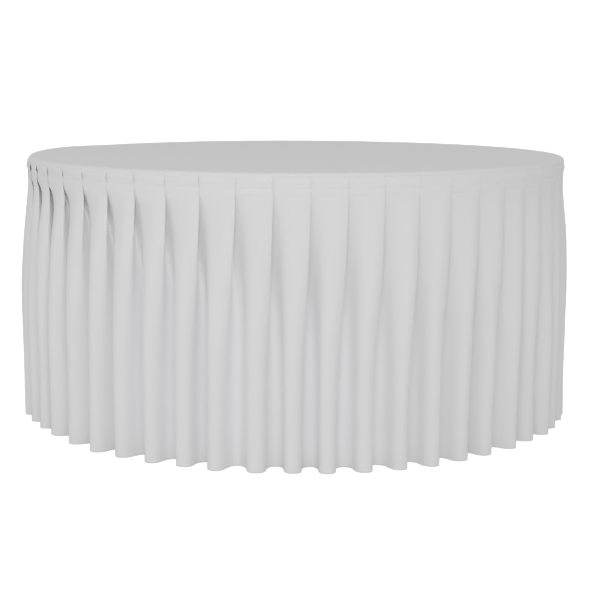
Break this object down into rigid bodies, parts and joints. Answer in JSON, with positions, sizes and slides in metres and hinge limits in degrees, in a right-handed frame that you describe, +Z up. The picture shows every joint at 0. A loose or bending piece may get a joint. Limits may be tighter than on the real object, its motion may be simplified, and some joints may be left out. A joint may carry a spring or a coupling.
{
  "type": "covered banquet table",
  "caption": "Round folding banquet table dressed in a fitted white floor-length cover with a stitched knife-pleat head and open pleats to the hem",
  "frame": {"origin": "on the floor, at the centre of the box below the middle of the table top", "axes": "+Z up, +X toward the right-hand leg set, -Y toward the front of the table"},
  "size_m": [1.5688, 1.5688, 0.75],
  "materials": {
    "cover_cloth": "matte",
    "cotton_tape": "matte",
    "label_satin": "satin",
    "plywood": "matte",
    "laminate": "satin",
    "edge_vinyl": "satin",
    "zinc_steel": "satin",
    "grey_paint": "satin",
    "black_plastic": "matte"
  },
  "bodies": {
    "table": {"plywood_top": "plywood", "laminate_sheet": "laminate", "edge_moulding": "edge_vinyl", "front_rail": "zinc_steel", "rear_rail": "zinc_steel", "left_front_bracket": "zinc_steel", "left_rear_bracket": "zinc_steel", "right_front_bracket": "zinc_steel", "right_rear_bracket": "zinc_steel", "left_brace_bracket": "zinc_steel", "right_brace_bracket": "zinc_steel", "left_top_pin": "zinc_steel", "right_top_pin": "zinc_steel", "wood_screws": "zinc_steel"},
    "cover": {"top_panel": "cover_cloth", "skirt_panel_1": "cover_cloth", "skirt_panel_2": "cover_cloth", "skirt_panel_3": "cover_cloth", "skirt_panel_4": "cover_cloth", "rim_seam_binding": "cotton_tape", "header_tape": "cotton_tape", "care_label": "label_satin"},
    "left_leg": {"left_pivot_tube": "grey_paint", "left_front_leg": "grey_paint", "left_rear_leg": "grey_paint", "left_stretcher": "grey_paint", "left_front_foot": "black_plastic", "left_rear_foot": "black_plastic", "left_tube_plugs": "black_plastic", "left_stretcher_ear": "grey_paint", "left_bottom_pin": "zinc_steel"},
    "left_upper_brace": {"left_upper_link": "zinc_steel", "left_elbow_head": "zinc_steel"},
    "left_lower_brace": {"left_lower_link": "zinc_steel", "left_elbow_tail": "zinc_steel"},
    "right_leg": {"right_pivot_tube": "grey_paint", "right_front_leg": "grey_paint", "right_rear_leg": "grey_paint", "right_stretcher": "grey_paint", "right_front_foot": "black_plastic", "right_rear_foot": "black_plastic", "right_tube_plugs": "black_plastic", "right_stretcher_ear": "grey_paint", "right_bottom_pin": "zinc_steel"},
    "right_upper_brace": {"right_upper_link": "zinc_steel", "right_elbow_head": "zinc_steel"},
    "right_lower_brace": {"right_lower_link": "zinc_steel", "right_elbow_tail": "zinc_steel"}
  },
  "joints": [
    {"name": "cover_lift", "type": "slide", "parent": "table", "child": "cover", "axis": [0, 0, 1], "range_m": [0, 0.78]},
    {"name": "left_leg_fold", "type": "hinge", "parent": "table", "child": "left_leg", "pos_m": [-0.5, 0, 0.688], "axis": [0, -1, 0], "range_deg": [0, 94]},
    {"name": "left_upper_brace_turn", "type": "hinge", "parent": "table", "child": "left_upper_brace", "pos_m": [-0.2, 0, 0.712], "axis": [0, 1, 0], "range_deg": [0, 55.53]},
    {"name": "left_lower_brace_turn", "type": "hinge", "parent": "left_leg", "child": "left_lower_brace", "pos_m": [-0.50536, 0, 0.26735], "axis": [0, -1, 0], "range_deg": [0, 30.49]},
    {"name": "right_leg_fold", "type": "hinge", "parent": "table", "child": "right_leg", "pos_m": [0.5, 0, 0.66], "axis": [0, 1, 0], "range_deg": [0, 94]},
    {"name": "right_upper_brace_turn", "type": "hinge", "parent": "table", "child": "right_upper_brace", "pos_m": [0.2, 0, 0.684], "axis": [0, -1, 0], "range_deg": [0, 55.53]},
    {"name": "right_lower_brace_turn", "type": "hinge", "parent": "right_leg", "child": "right_lower_brace", "pos_m": [0.50536, 0, 0.23935], "axis": [0, 1, 0], "range_deg": [0, 30.49]}
  ],
  "couplings": [
    {"joint": "left_upper_brace_turn", "follows": "left_leg_fold", "ratio": 0.59065},
    {"joint": "left_lower_brace_turn", "follows": "left_leg_fold", "ratio": 0.32424},
    {"joint": "right_upper_brace_turn", "follows": "right_leg_fold", "ratio": 0.59065},
    {"joint": "right_lower_brace_turn", "follows": "right_leg_fold", "ratio": 0.32424}
  ]
}
